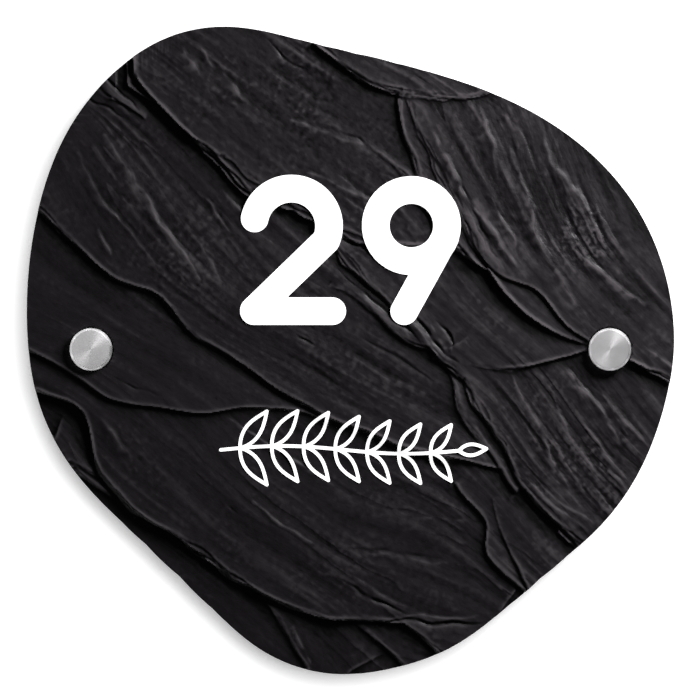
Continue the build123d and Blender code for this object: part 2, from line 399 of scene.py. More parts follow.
def filled(field, radius):
    """Largest value of a grid field within a radius in mm."""
    for k in range(max(1, int(radius / STEP))):
        shifts = SIDES + CORNERS if k % 2 else SIDES
        field = np.maximum.reduce([field] + [np.roll(field, shift, (0, 1)) for shift in shifts])
    return field


# How rough the face is at places on it: x, z, radius in mm, and an amount from smooth 0 to rough 1.
ROUGHNESS = [
    (-78, 12, 22, 0.06), (-52, -10, 20, 0.08), (-84, -22, 14, 0.2), (-58, -38, 20, 0.3),
    (-30, -55, 22, 0.28), (-40, -88, 20, 0.08), (-68, -52, 12, 0.1), (-66, 42, 20, 0.6),
    (-84, 58, 14, 0.45), (-46, 66, 12, 0.2), (-44, 84, 20, 0.55), (-12, 78, 22, 0.6),
    (-46, 28, 14, 0.75), (-22, 24, 12, 0.4), (10, 54, 20, 0.65), (10, 72, 16, 0.35), (-4, 36, 12, 0.6),
    (18, 86, 12, 0.5), (36, 62, 12, 0.65), (46, 36, 10, 0.95), (58, 50, 14, 0.78), (70, 38, 8, 1.4),
    (78, 61, 8, 0.15), (88, 46, 10, 0.12), (90, 16, 12, 0.5), (56, 12, 8, 0.3), (44, 8, 14, 0.3),
    (26, 20, 10, 0.4), (0, -4, 16, 0.55), (-24, 2, 16, 0.6), (26, -18, 16, 0.5), (20, -34, 14, 0.35),
    (-6, -36, 16, 0.22), (20, -56, 18, 0.4), (0, -74, 16, 0.45), (28, -74, 14, 0.3), (0, -92, 16, 0.3),
    (44, -52, 10, 0.3), (62, -60, 10, 0.35), (54, -24, 12, 0.9), (72, -36, 12, 1), (82, -20, 12, 0.8),
    (92, -10, 10, 0.3), (34, -88, 10, 0.4),
]

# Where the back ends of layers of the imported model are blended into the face: reach, the height
# above which layers stay as they are, and points.
BLENDED = [
    (3.5, 1.3, (31, 1), (38, 6.2), (46, 11.5), (50, 14.2)),
    (3, 9, (-10, -69), (-5, -61.5), (3, -48)),
    (3.2, 1.5, (51.6, -46.6), (55.2, -44.2)),
    (3.8, 0.6, (31, -39.2), (37.5, -35.2)),
    (2.6, 1, (-62.6, 69), (-60.4, 73)),
]

# Places with a crumbly, mottled face: x, z, radius in mm, and how strong it is.
MOTTLED = [
    (-18, 76, 24, 1), (-52, 74, 10, 0.5), (10, 50, 16, 0.6), (-58, 24, 12, 0.8), (-44, -60, 11, 1),
    (-64, -36, 12, 0.5), (66, -60, 8, 0.7), (-10, -2, 12, 0.4), (14, -66, 14, 0.4),
]

# Where the lips are split into thin leaves: x, z, radius and how far the leaves slip, in mm.
SPLITS = [
    (-70, 80, 9, 0.2), (-56, 70, 10, 0.25), (-40, 57, 8, 1.2), (-28, 50, 8, 1.3), (-12, 41, 8, 1.2),
    (2, 36, 8, 1), (16, 33, 8, 0.3), (20, 62, 8, 0.5), (27, 55, 8, 1), (36, 40, 8, 0.9),
    (46, 24, 8, 0.3), (66, 8, 8, 0.35), (-92, 37, 8, 0.7), (-80, 28, 10, 0.35), (-60, 17, 10, 0.35),
    (-45, 2, 10, 0.5), (-25, -12, 10, 0.35), (0, -24, 8, 0.4), (30, -33, 10, 0.2), (-85, -8, 10, 0.4),
    (-60, -18, 14, 0.3), (-74, -42, 8, 0.5), (-56, -58, 8, 0.5), (-42, -68, 8, 0.9),
    (-24, -78, 10, 0.5), (14, -84, 8, 0.5), (34, -84, 8, 0.7), (14, 10, 10, 0.5), (30, -4, 8, 0.6),
    (40, -22, 8, 0.9), (52, -42, 8, 0.5), (66, -54, 8, 0.7), (44, -56, 8, 0.4), (48, -70, 10, 0.3),
    (34, 78, 10, 0.7), (4, 85, 10, 0.6), (80, -40, 10, 0.6),
]


def leaf_edges(spacing, wander, facing):
    """A sawtooth across the grain, its sharp drops to the upper right for facing 1, else lower left."""
    phase = across_grain / spacing + wander * drawn(80, 2.4 * spacing) + 0.08 * drawn(10, 1.5)
    share = phase - np.floor(phase)
    if facing < 0:
        share = 1 - share
    drop = 0.4 / spacing
    saw = np.where(share < 1 - drop, share / (1 - drop), (1 - share) / drop) - 0.5
    return saw * smoothstep(-0.6, 1.6, drawn(50, spacing))


def blended(cad):
    """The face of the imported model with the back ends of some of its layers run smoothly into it."""
    even = cad.copy()
    for reach, ceiling, *points in BLENDED:
        low = (cad < ceiling).astype(float)
        soft = blur(even * low, 2.2) / np.maximum(blur(low, 2.2), 0.001)
        even += smoothstep(reach, 0.4 * reach, near_line(points, 5.0)[0]) * low * (soft - even)
    return even


def relief():
    """Relief of the face in mm over its flat base, and how rough it is."""
    even = blended(cad_relief())
    rough = spread_out(ROUGHNESS) * (0.75 + 0.5 * smoothstep(-1.2, 1.2, drawn(34, 8)))
    slip = spread_out(SPLITS)
    slip *= smoothstep(0.2, 0.7, slip)
    drift_x, drift_z = 0.3 * lumps(14), 0.3 * lumps(14)
    height = np.zeros(SHAPE)
    for share, place in ((0.14, -1.5), (0.18, -0.4), (0.26, 0.5), (0.42, 1.3)):
        ragged = (0.03 + 0.22 * slip) * drawn(9, 2.6) + 0.05 * lumps(1.6) + 0.5 * slip * lumps(8)
        away = place * slip + ragged
        height += share * sample(even, GX + drift_x + 0.62 * away, GZ + drift_z + 0.78 * away)
    rim = height - blur(height, 0.8)
    foot = height - blur(height, 3.2)
    height = height + 1.20 * np.maximum(rim, 0) + 0.45 * np.minimum(foot, 0)
    # Swells and furrows along the grain, then small lumps
    height += (0.04 + 0.08 * rough) * drawn(70, 7)
    height -= (0.02 + 0.13 * rough) * np.abs(drawn(60, 4.2))
    height -= (0.01 + 0.06 * rough) * np.abs(drawn(40, 2.2))
    height += (0.004 + 0.020 * rough) * drawn(24, 1.2)
    height += (0.006 + 0.030 * rough) * lumps(2.4) * smoothstep(-0.5, 1.5, lumps(16))
    mottled = np.zeros(SHAPE)
    for x, z, radius, amount in MOTTLED:
        mottled += amount * np.exp(-((GX - x) ** 2 + (GZ - z) ** 2) / radius ** 2)
    height += (0.004 + 0.016 * rough + 0.020 * mottled) * lumps(1.4)
    height += 0.030 * mottled * (0.7 * lumps(2.6) + 0.7 * drawn(8, 1.6))
    height += 0.05 * smoothstep(1.05, 1.3, rough) * lumps(1.3)
    # Thin leaves between the lips
    height += (0.02 + 0.18 * rough) * leaf_edges(4.5, 0.7, 1) * smoothstep(0.35, 0.8, rough)
    height += (0.03 + 0.15 * rough) * leaf_edges(7.0, 0.7, -1)
    height += (0.01 + 0.05 * rough) * leaf_edges(1.9, 0.5, 1) * smoothstep(0.30, 0.8, rough)
    height += lines_relief()
    return height, rough


def clipped_grid(xs, zs, inside):
    """Vertices and faces of a square grid, cut where the inside field crosses zero."""
    keep = inside > 0
    index = np.full(inside.shape, -1)
    index[keep] = np.arange(keep.sum())
    jj, ii = np.nonzero(keep)
    verts = [(xs[i], zs[j]) for i, j in zip(ii, jj)]
    corners = keep[:-1, :-1].astype(int) + keep[:-1, 1:] + keep[1:, 1:] + keep[1:, :-1]
    j4, i4 = np.nonzero(corners == 4)
    faces = np.stack([index[j4, i4], index[j4, i4 + 1], index[j4 + 1, i4 + 1], index[j4 + 1, i4]], 1).tolist()
    crossing = {}

    def cross(a, b):
        key = (a, b) if a < b else (b, a)
        if key not in crossing:
            fa, fb = inside[a], inside[b]
            t = fa / (fa - fb)
            xa, za, xb, zb = xs[a[1]], zs[a[0]], xs[b[1]], zs[b[0]]
            crossing[key] = len(verts)
            verts.append((xa + t * (xb - xa), za + t * (zb - za)))
        return crossing[key]

    for j, i in zip(*np.nonzero((corners > 0) & (corners < 4))):
        ring = [(j, i), (j, i + 1), (j + 1, i + 1), (j + 1, i)]
        face = []
        for k in range(4):
            a, b = ring[k], ring[(k + 1) % 4]
            if keep[a]:
                face.append(int(index[a]))
            if keep[a] != keep[b]:
                face.append(cross(a, b))
        if len(face) > 2:
            faces.append(face)
    return np.array(verts), faces


def border_loops(faces):
    """The rings of vertices along the open border of some faces."""
    used = {(v[k], v[(k + 1) % len(v)]): True for v in faces for k in range(len(v))}
    after = {a: b for (a, b) in used if (b, a) not in used}
    loops = []
    while after:
        start, b = after.popitem()
        ring = [start]
        while b != start:
            ring.append(b)
            b = after.pop(b)
        loops.append(ring)
    return loops


def strip(upper, lower):
    """The faces between two rings of as many vertices each."""
    n = len(upper)
    return [[upper[(a + 1) % n], upper[a], lower[a], lower[(a + 1) % n]] for a in range(n)]


def outline_radius():
    """The slab's outline as a radius in mm for every direction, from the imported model's back edge."""
    points = {}
    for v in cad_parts["slate_plate"].data.vertices:
        x, z = v.co.x / MM, v.co.z / MM
        from_fixing = min(math.hypot(x - fx / MM, z) for fx in fixing_x.values())
        if v.co.y > slab_back_y - 0.01 * MM and from_fixing > 6:
            points[math.atan2(z, x)] = math.hypot(x, z)
    angles = np.array(sorted(points))
    radii = np.array([points[a] for a in angles])
    return angles, radii


height, roughness = relief()
outline_angles, outline_radii = outline_radius()


def inside_slab(x, z):
    """How far in mm a point lies inside the slab's outline and outside its two holes."""
    reach = np.interp(np.arctan2(z, x), outline_angles, outline_radii, period=2 * math.pi)
    inside = reach - OUTLINE_MARGIN - np.hypot(x, z)
    for fx in fixing_x.values():
        inside = np.minimum(inside, np.hypot(x - fx / MM, z) - PLATE_HOLE / MM)
    return inside


# Tone of the stone with light and shade painted into it: a painted highlight along crests and lip edges,
# painted shade in clefts and at the feet of lips, and the stone's own changes of tone.
crest = height - blur(height, 1.0)
fine_crest = height - blur(height, 0.5)
hollow = np.minimum(height - blur(height, 4.5), 0)
crest_highlight_amount = smoothstep(-1.2, 1.0, lumps(16))
# Painted highlight along crests and lip edges, stronger in some places than in others
tone_and_painted_light = 0.5 + (0.20 + 0.32 * crest_highlight_amount) * np.tanh(4.0 * crest) + (0.15 + 0.45 * crest_highlight_amount) * np.tanh(9 * fine_crest)
# Painted shade in clefts and at the feet of lips, fading away from them
tone_and_painted_light += 0.85 * np.tanh(1.4 * hollow)
# Random changes of tone, then the bands with their painted highlights and shade
tone_and_painted_light += 0.04 * drawn(40, 3) + (0.02 + 0.05 * roughness) * lumps(1.2) + painted_light_bands()
tone_and_painted_light = np.clip(tone_and_painted_light, 0, 1.2)

# Round each fixing the face keeps the flat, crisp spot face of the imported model.
face_x, face_z = GX.copy(), GZ.copy()
for fx in fixing_x.values():
    away = np.hypot(GX - fx / MM, GZ)
    spot = SPOT_FACE / MM
    flat = away < spot
    height = np.where(flat, 0.0, height)
    for low, high, ring in ((spot - 0.6 * STEP, spot, spot - 0.01), (spot, spot + 0.6 * STEP, spot + 0.03)):
        band = (away >= low) & (away < high)
        face_x = np.where(band, fx / MM + (GX - fx / MM) * ring / np.maximum(away, 1e-6), face_x)
        face_z = np.where(band, GZ * ring / np.maximum(away, 1e-6), face_z)

room = (base_front_y - slab_low.y) / MM
height = np.clip(height, DEEPEST, room - 0.02)


def values_of(items, key, kind=float, width=1):
    """A value, or a few, of each vertex, corner or face of a mesh."""
    values = np.empty(len(items) * width, kind)
    items.foreach_get(key, values)
    return values


def surface_fields(mesh):
    """Grain coordinates as the UV map, and the tone of the face with its painted highlights and shade, and
    its roughness, as vertex values.
    """
    x, y, z = (values_of(mesh.vertices, "co", width=3).reshape(-1, 3) / MM).T
    on_face = y < base_front_y / MM + 1.3
    # The tone holds painted highlights and painted shade as well as the stone's own tone
    for name, field, elsewhere in (("tone_and_painted_light", tone_and_painted_light, 0.45), ("rough", roughness, 0.3)):
        values = mesh.attributes.new(name, "FLOAT", "POINT")
        values.data.foreach_set("value", np.where(on_face, sample(field, x, z), elsewhere).astype(np.float32))
    corner = values_of(mesh.loops, "vertex_index", int)
    normals = values_of(mesh.polygons, "normal", width=3)
    sizes = values_of(mesh.polygons, "loop_total", int)
    flat = np.repeat(np.abs(normals[1::3]) > 0.25, sizes)
    x, y, z = x[corner], y[corner], z[corner]
    u = np.where(flat, sample(along_grain, x, z), np.arctan2(z, x) * 100)
    v = np.where(flat, sample(across_grain, x, z), 400 + y * 2.2)
    mesh.uv_layers.new(name="grain").data.foreach_set("uv", np.stack([u, v], 1).ravel())


def slate_slab():
    """The riven slab: its face from the relief, an edge of thin laminae, a flat back and two holes."""
    inside = inside_slab(face_x, face_z)
    flat_verts, faces = clipped_grid(np.arange(SHAPE[1]), np.arange(SHAPE[0]), inside)
    i, j = flat_verts[:, 0], flat_verts[:, 1]
    real = [sample(f, x_axis[0] + i * STEP, z_axis[0] + j * STEP) for f in (face_x, face_z, height)]
    verts = np.stack([real[0] * MM, base_front_y - real[2] * MM, real[1] * MM], 1)
    face = new_object("slab_face", verts, faces)
    count = sum(len(p.vertices) - 2 for p in face.data.polygons)
    thin = face.modifiers.new("thin", "DECIMATE")
    thin.ratio = min(1.0, FACE_TRIANGLES / count)
    shown = bpy.context.evaluated_depsgraph_get()
    mesh = bpy.data.meshes.new_from_object(face.evaluated_get(shown))
    bpy.data.objects.remove(face)
    verts = [tuple(v.co) for v in mesh.vertices]
    faces = [list(p.vertices) for p in mesh.polygons]
    rows = [lumps(2.2) for _ in range(5)]
    sharp, last_rings = [], []
    for ring in border_loops(faces):
        sharp.append(ring)
        before = ring
        middle = np.mean([verts[v] for v in ring], 0)
        outer = abs(middle[0]) < 30 * MM
        for k, wear in enumerate(rows):
            share = (k + 1) / len(rows)
            new = []
            for v in ring:
                x, y, z = verts[v]
                inset = 0.0
                if outer:
                    inset = EDGE_WEAR * MM * (1 + float(np.clip(sample(wear, x / MM, z / MM), -1, 1.4)))
                scale = 1 - inset / math.hypot(x, z)
                new.append(len(verts))
                verts.append((x * scale, y + (slab_back_y - y) * share, z * scale))
            faces += strip(before, new)
            before = new
        last_rings.append(before)
        sharp.append(before)
    piece = new_object("riven_slab", verts, faces)
    bm = bmesh.new()
    bm.from_mesh(piece.data)
    bm.verts.ensure_lookup_table()

    def edges_along(rings):
        pairs = [pair for ring in rings for pair in zip(ring, ring[1:] + ring[:1])]
        return [bm.edges.get((bm.verts[a], bm.verts[b])) for a, b in pairs]

    bmesh.ops.triangle_fill(bm, edges=edges_along(last_rings), use_beauty=True, normal=(0, 1, 0))
    for edge in edges_along(sharp):
        edge.smooth = False
    bmesh.ops.recalc_face_normals(bm, faces=bm.faces)
    for f in bm.faces:
        f.smooth = True
    bm.to_mesh(piece.data)
    bm.free()
    piece.data.set_sharp_from_angle(angle=math.radians(42))
    surface_fields(piece.data)
    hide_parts("slate_plate")
    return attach(piece, "root")


# Painted number and sprig: smooth coats that fill the clefts under them, in mm on the face
def arc(cx, cz, radius, start, end):
    """Points along an arc, angles in degrees."""
    turns = np.radians(np.linspace(start, end, 40))
    return [(cx + radius * math.cos(a), cz + radius * math.sin(a)) for a in turns]


def path_distance(x, z, paths):
    """Distance in mm from each point to the nearest of some open paths."""
    best = np.full(np.shape(x), 1e9)
    for path in paths:
        p = np.array(path, float)
        for a in range(len(p) - 1):
            bx, bz = p[a + 1] - p[a]
            t = np.clip(((x - p[a, 0]) * bx + (z - p[a, 1]) * bz) / max(bx * bx + bz * bz, 1e-9), 0, 1)
            best = np.minimum(best, np.hypot(x - p[a, 0] - t * bx, z - p[a, 1] - t * bz))
    return best


NUMBER_STROKE = 8.5
SPRIG_STROKE = 1.05
PAINT_DEPTH = 0.12
NUMBER = [
    arc(-18.2, 38.0, 11.6, 168, -22) + [(-29.8, 12.0)],
    [(-29.8, 11.8), (-5.6, 11.8)],
    arc(18.8, 38.2, 11.0, 0, 360),
    [(29.2, 34.5), (16.6, 11.8)],
]


def leaf(x, z, turn, length, width):
    """The closed outline of a slender pointed leaf that starts at a point on the stem."""
    shares = np.linspace(0, 1, 16)
    upper = [(t * length, width * math.sin(math.pi * t ** 0.85)) for t in shares]
    outline = upper + [(along, -out) for along, out in reversed(upper)]
    c, s = math.cos(math.radians(turn)), math.sin(math.radians(turn))
    return [(x + c * px - s * pz, z + s * px + c * pz) for px, pz in outline]


def stem(x):
    """Height of the sprig's stem at a place along it, in mm."""
    return -31.0 + 1.2 * math.sin((x + 40) / 76 * 2 * math.pi)


def sprig():
    """A gently waving stem with seven pairs of slender leaves and one at its end."""
    paths = [[(x, stem(x)) for x in np.linspace(-40, 34, 50)]]
    for k in range(7):
        x = -34 + 9.8 * k
        for turn in (54, -54):
            paths.append(leaf(x, stem(x), turn, 14.0 - 0.55 * k, 2.3 - 0.08 * k))
    paths.append(leaf(33.5, stem(33.5), 4, 8.5, 1.7))
    return paths


sprig_ground = blur(filled(height, 2.0), 0.9)
number_ground = blur(filled(height, 3.0), 1.4)


def paint_coat(name, paths, stroke, step, thickness, under):
    """A coat of paint along some paths, its top smooth and its edge down into the slate."""
    p = np.concatenate([np.array(path, float) for path in paths])
    xs = np.arange(p[:, 0].min() - stroke, p[:, 0].max() + stroke, step)
    zs = np.arange(p[:, 1].min() - stroke, p[:, 1].max() + stroke, step)
    px, pz = np.meshgrid(xs, zs)
    flat, faces = clipped_grid(xs, zs, stroke / 2 - path_distance(px, pz, paths))
    top = sample(under, flat[:, 0], flat[:, 1]) + thickness
    verts = np.stack([flat[:, 0] * MM, base_front_y - top * MM, flat[:, 1] * MM], 1).tolist()
    for ring in border_loops(faces):
        foot = []
        for v in ring:
            x, _, z = verts[v]
            low = float(sample(height, x / MM, z / MM)) - PAINT_DEPTH
            foot.append(len(verts))
            verts.append((x, base_front_y - low * MM, z))
        faces += strip(ring, foot)
    piece = new_object(name, verts, faces)
    piece.data.set_sharp_from_angle(angle=math.radians(50))
    piece.data.materials.append(paint)
    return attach(piece, "root")


# Turned pieces, from profiles of (radius, y) points in mm
def rounded(points, radius):
    """A profile with each inner corner cut round by a small radius, in three steps."""
    out = [points[0]]
    for before, here, after in zip(points, points[1:], points[2:]):
        a, b, c = (np.array(p, float) for p in (before, here, after))
        ab, bc = np.linalg.norm(a - b), np.linalg.norm(c - b)
        r = min(radius, 0.4 * ab, 0.4 * bc)
        first, last = b + (a - b) / ab * r, b + (c - b) / bc * r
        for t in (0, 0.33, 0.67, 1):
            out.append(tuple((1 - t) ** 2 * first + 2 * t * (1 - t) * b + t * t * last))
    out.append(points[-1])
    return out


def thread(side, top, tip, core, crest, pitch, point, segments):
    """Rings of a screw thread from y = top to y = tip in mm, narrowing over the length of its point."""
    rows = int((tip - top) / pitch * 10)
    centre, verts = fixing_x[side], []
    for r in range(rows + 1):
        y = top + (tip - top) * r / rows
        shrink = max(0.03, min(1.0, (tip - y) / point)) if point else 1.0
        fade = min(1.0, (y - top) / pitch, (tip - y) / pitch)
        for k in range(segments):
            a = 2 * math.pi * k / segments
            phase = ((y - top) / pitch - k / segments) % 1.0
            tooth = max(0.0, 1 - abs(phase - 0.5) / 0.36)
            radius = (core + (crest - core) * tooth * fade) * shrink
            verts.append((centre + radius * MM * math.cos(a), y * MM, radius * MM * math.sin(a)))
    return verts, rings_joined(rows + 1, segments)


def rings_joined(rows, segments, closed=False):
    """The faces between rings that follow each other, and back to the first where closed."""
    faces = []
    for r in range(rows if closed else rows - 1):
        here, after = r * segments, (r + 1) % rows * segments
        for k in range(segments):
            m = (k + 1) % segments
            faces.append((here + k, here + m, after + m, after + k))
    return faces


def spun(side, profile, segments, closed=False):
    """Vertices and faces of a profile spun about a fixing's axis."""
    verts = []
    for radius, y in profile:
        for k in range(segments):
            a = 2 * math.pi * k / segments
            verts.append((fixing_x[side] + radius * MM * math.cos(a), y * MM, radius * MM * math.sin(a)))
    return verts, rings_joined(len(profile), segments, closed)


def cross_recess(side, y):
    """The walls of a cross recess in a screw head, a little narrower at the bottom."""
    verts = []
    for level, scale in ((y, 1.0), (y + RECESS_DEPTH, 0.6)):
        r, h = RECESS_REACH * scale, RECESS_SLOT * scale
        arm = [(r, -h), (r, h), (h, h)]
        for _ in range(4):
            verts += [(fixing_x[side] + a * MM, level * MM, b * MM) for a, b in arm]
            arm = [(-b, a) for a, b in arm]
    return verts, rings_joined(2, 12)


def joined(name, parts, angle, look):
    """A closed piece from (vertices, faces) lists, its open rings filled, sharp above an angle."""
    verts, faces = [], []
    for v, f in parts:
        faces += [tuple(i + len(verts) for i in face) for face in f]
        verts += v
    piece = new_object(name, verts, faces)
    bm = bmesh.new()
    bm.from_mesh(piece.data)
    bmesh.ops.remove_doubles(bm, verts=bm.verts, dist=1e-7)
    levels = {}
    for edge in bm.edges:
        if edge.is_boundary:
            levels.setdefault(round(edge.verts[0].co.y / MM, 3), []).append(edge)
    for edges in levels.values():
        bmesh.ops.triangle_fill(bm, edges=edges, use_beauty=True)
    bmesh.ops.recalc_face_normals(bm, faces=bm.faces)
    bm.to_mesh(piece.data)
    bm.free()
    piece.data.set_sharp_from_angle(angle=math.radians(angle))
    piece.data.materials.append(look)
    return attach(piece, "root")


# Materials
def material(name, colour, roughness, constants):
    """A new node material and its main shader, with what is constant set on the shader."""
    made = bpy.data.materials.new(name)
    made.use_nodes = True
    shader = made.node_tree.nodes["Principled BSDF"]
    for key, value in {"Base Color": (*colour, 1), "Roughness": roughness, **constants}.items():
        shader.inputs[key].default_value = value
    return made, shader


def node(made, kind, inputs=(), **settings):
    """Adds a node with its settings and input values or links."""
    new = made.node_tree.nodes.new(kind)
    for key, value in settings.items():
        setattr(new, key, value)
    for key, value in dict(inputs).items():
        if isinstance(value, bpy.types.NodeSocket):
            made.node_tree.links.new(value, new.inputs[key])
        else:
            new.inputs[key].default_value = value
    return new


def linked(made, shader, sources):
    """The material, with sources linked to the shader's inputs of their names."""
    for name, source in sources.items():
        made.node_tree.links.new(source, shader.inputs[name])
    return made


def noise(made, vector, scale, detail, roughness=0.5):
    """The value of a noise texture."""
    inputs = {"Vector": vector, "Scale": scale, "Detail": detail, "Roughness": roughness}
    return node(made, "ShaderNodeTexNoise", inputs).outputs[0]


def object_noise(made, scale, detail):
    """Noise laid out in the object's own space."""
    return noise(made, node(made, "ShaderNodeTexCoord").outputs["Object"], scale, detail)


def reckoned(made, operation, *values):
    """The result of a Math node on numbers and links."""
    return node(made, "ShaderNodeMath", dict(enumerate(values)), operation=operation).outputs[0]


def in_range(made, value, low, high, source=(0, 1)):
    """A value carried over from its source range to the range from low to high."""
    ends = {"From Min": source[0], "From Max": source[1], "To Min": low, "To Max": high}
    return node(made, "ShaderNodeMapRange", {"Value": value, **ends}).outputs[0]


def shades(made, value, *colours):
    """A colour picked by a value from a ramp of evenly spaced colours."""
    ramp = node(made, "ShaderNodeValToRGB", {"Fac": value})
    stops = ramp.color_ramp.elements
    stops[0].color, stops[1].color = (*colours[0], 1), (*colours[-1], 1)
    for k in range(1, len(colours) - 1):
        stops.new(k / (len(colours) - 1)).color = (*colours[k], 1)
    return ramp.outputs[0]


def bump(made, height, strength, distance, **under):
    """A normal bent by a height, over another normal where one is given."""
    inputs = {"Height": height, "Strength": strength, "Distance": distance, **under}
    return node(made, "ShaderNodeBump", inputs).outputs[0]


def slate_material():
    """Stone whose colour and roughness follow the tone of the face with its painted highlights and shade,
    with veins, hairs and grit.
    """
    made, shader = material("riven_slate", (0.016, 0.0137, 0.016), 0.5, {"Specular IOR Level": 0.3})
    tone_and_painted_light_in = node(made, "ShaderNodeAttribute", attribute_name="tone_and_painted_light").outputs["Fac"]
    rough_in = node(made, "ShaderNodeAttribute", attribute_name="rough").outputs["Fac"]
    grain = node(made, "ShaderNodeUVMap", uv_map="grain").outputs[0]
    long, fine = (node(made, "ShaderNodeMapping", {"Vector": grain, "Scale": scale}).outputs[0]
                  for scale in ((0.10, 0.6, 1), (0.35, 1.4, 1)))
    veins = noise(made, long, 1, 5, 0.6)
    hairs = noise(made, fine, 1, 3)
    grit = object_noise(made, 850, 4)
    clouded = reckoned(made, "MULTIPLY_ADD", object_noise(made, 70, 4), 0.30, tone_and_painted_light_in)
    vein_amount = reckoned(made, "MULTIPLY_ADD", rough_in, 0.25, 0.08)
    veined = reckoned(made, "MULTIPLY_ADD", veins, vein_amount, clouded)
    share = in_range(made, veined, 0, 1, source=(0.25, 1.25))
    # The colour ramp turns the painted shade in the tone near black and its painted highlights pale grey
    colour = shades(made, share, (0.004, 0.0034, 0.004), (0.016, 0.0136, 0.016), (0.074, 0.068, 0.073))
    rough = in_range(made, hairs, 0.35, 0.51, source=(0.3, 0.7))
    toned = reckoned(made, "MULTIPLY_ADD", tone_and_painted_light_in, 0.30, rough)
    amount = reckoned(made, "ADD", rough_in, 0.25)
    first = bump(made, reckoned(made, "MULTIPLY", hairs, amount), 0.6, 0.00010)
    second = bump(made, reckoned(made, "MULTIPLY", grit, amount), 0.6, 0.00014, Normal=first)
    return linked(made, shader, {"Base Color": colour, "Roughness": toned, "Normal": second})


def paint_material():
    made, shader = material("white_paint", (0.9, 0.9, 0.9), 0.5, {"Specular IOR Level": 0.35})
    grit = object_noise(made, 900, 2)
    return linked(made, shader, {
        "Base Color": shades(made, grit, (0.86,) * 3, (0.93,) * 3),
        "Normal": bump(made, grit, 0.25, 0.00004)})


def turned_steel(name, rings):
    """Steel turned on a lathe: fine rings round the axis, drawn out reflections and a slight cloud."""
    made, shader = material(name, (0.64, 0.63, 0.64), 0.3, {
        "Metallic": 1.0, "Anisotropic": 0.85, "Anisotropic Rotation": 0.25})
    along = node(made, "ShaderNodeTangent", direction_type="RADIAL", axis="Y").outputs[0]
    place = node(made, "ShaderNodeTexCoord").outputs["Generated"]
    parts = node(made, "ShaderNodeSeparateXYZ", {"Vector": place}).outputs
    offsets = [reckoned(made, "SUBTRACT", parts[k], 0.5) for k in (0, 2)]
    flat = node(made, "ShaderNodeCombineXYZ", {"X": offsets[0], "Y": offsets[1]})
    radius = node(made, "ShaderNodeVectorMath", {0: flat.outputs[0]}, operation="LENGTH")
    depth = reckoned(made, "ADD", parts[1], radius.outputs["Value"])
    noise_inputs = {"W": depth, "Scale": rings, "Detail": 3}
    lines = node(made, "ShaderNodeTexNoise", noise_inputs, noise_dimensions="1D").outputs[0]
    return linked(made, shader, {
        "Tangent": along, "Roughness": in_range(made, lines, 0.24, 0.40),
        "Base Color": shades(made, object_noise(made, 260, 2), (0.56, 0.55, 0.56), (0.72, 0.71, 0.72)),
        "Normal": bump(made, lines, 0.3, 0.00003)})


def washer_material():
    made, shader = material("soft_clear_plastic", (0.86, 0.87, 0.88), 0.35, {"Transmission Weight": 0.55})
    return linked(made, shader, {"Roughness": in_range(made, object_noise(made, 500, 2), 0.28, 0.45)})


def zinc_material():
    made, shader = material("zinc_plate", (0.66, 0.67, 0.68), 0.32, {"Metallic": 1.0})
    cloud = object_noise(made, 700, 3)
    return linked(made, shader, {
        "Roughness": in_range(made, cloud, 0.25, 0.45),
        "Base Color": shades(made, cloud, (0.55, 0.56, 0.58), (0.76, 0.77, 0.77))})


slate = slate_material()
paint = paint_material()
cap_steel = turned_steel("turned_cap_steel", 150)
barrel_steel = turned_steel("turned_barrel_steel", 240)
washer_plastic = washer_material()
zinc = zinc_material()

# The pieces
slab = slate_slab()
slab.data.materials.append(slate)
bright = [
    paint_coat("painted_number", NUMBER, NUMBER_STROKE, 0.4, 0.10, number_ground),
    paint_coat("painted_sprig", sprig(), SPRIG_STROKE, 0.16, 0.06, sprig_ground)]

# Sizes of the fixings, in mm
CAP_SEGMENTS = 96
SCREW_SEGMENTS = 32
OUTER = cap_radius / MM
CAP_BEVEL = 0.7
CAP_EDGE = 0.16
STUD = 3.95
STUD_ROOT = STUD - 0.6
STUD_PITCH = 1.25
STUD_PLAIN = 4.6
STUD_THREAD = 4.9
STUD_POINT = 0.7
BORE = 4.0
BARREL_BEVEL = 0.4
BARREL_EDGE = 0.08
BARREL_FLOOR = 3.0
FOOT_HOLE = 1.9
SEAT = 3.4
WASHER_HOLE = 4.1
HEAD = 3.2
HEAD_RIM = 0.3
SHANK = 1.75
CORE = 1.3
SCREW_PITCH = 1.35
SCREW_POINT = 4.0
RECESS_DEPTH = 1.5
RECESS_REACH = 1.7
RECESS_SLOT = 0.42


def turned_cap(side):
    """A bevelled cap with a plain neck and a threaded stud behind it."""
    cap_low, cap_high = (p.y / MM for p in cap_boxes[side])
    seat_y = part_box(side + "_front_washer")[0].y / MM
    thread_y, point_y = seat_y + STUD_THREAD, cap_high - STUD_POINT
    head = rounded([(0.0, cap_low), (OUTER - CAP_BEVEL, cap_low), (OUTER, cap_low + CAP_BEVEL),
                    (OUTER, seat_y), (STUD, seat_y)], CAP_EDGE)
    shank = spun(side, head + [(STUD, seat_y + STUD_PLAIN), (STUD_ROOT, thread_y)], CAP_SEGMENTS)
    rod = thread(side, thread_y, point_y, STUD_ROOT, STUD, STUD_PITCH, 0, CAP_SEGMENTS)
    end = spun(side, [(STUD_ROOT, point_y), (STUD_ROOT - 0.3, cap_high)], CAP_SEGMENTS)
    cap = joined(side + "_turned_cap", [shank, rod, end], 28, cap_steel)
    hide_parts(side + "_cap")
    return cap


